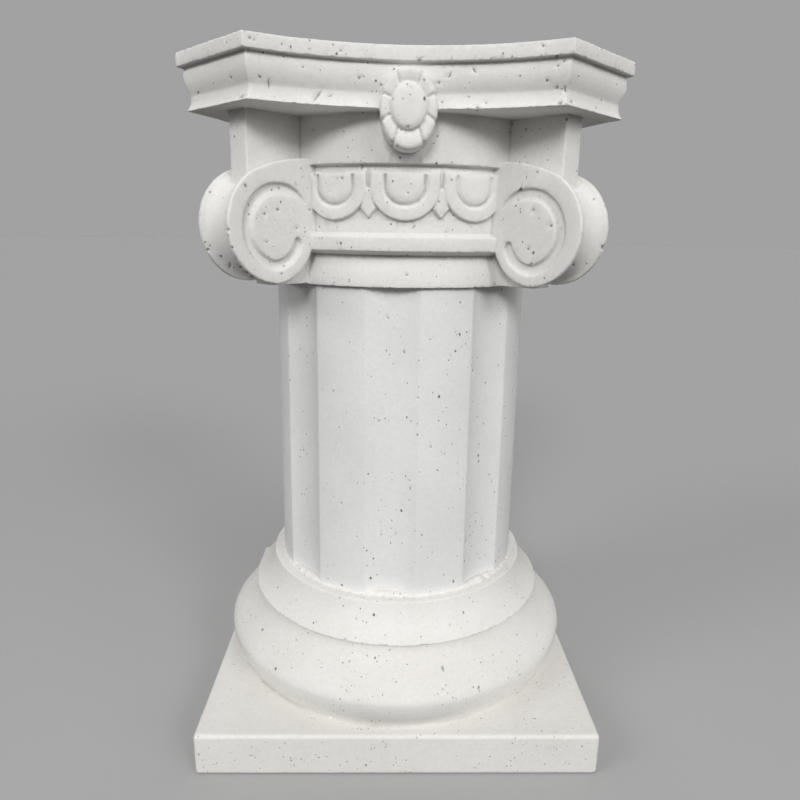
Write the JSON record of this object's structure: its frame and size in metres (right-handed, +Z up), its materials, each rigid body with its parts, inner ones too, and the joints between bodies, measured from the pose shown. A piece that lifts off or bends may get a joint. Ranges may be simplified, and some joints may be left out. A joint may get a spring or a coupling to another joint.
{
  "type": "ionic column",
  "caption": "Short fluted pedestal column with a square plinth, rounded base, and a capital of corner volutes under a hollow-sided top slab.",
  "frame": {"origin": "centre of the plinth's underside", "axes": "+Z up the column; X and Y square to the plinth's sides; the view in the picture looks along +Y"},
  "size_m": [0.463, 0.463, 0.7735],
  "materials": {
    "base stone": "matt, pitted",
    "shaft stone": "matt, pitted",
    "capital stone": "matt, pitted"
  },
  "bodies": {
    "root": {"base": "base stone", "shaft": "shaft stone", "capital": "capital stone"}
  },
  "joints": []
}
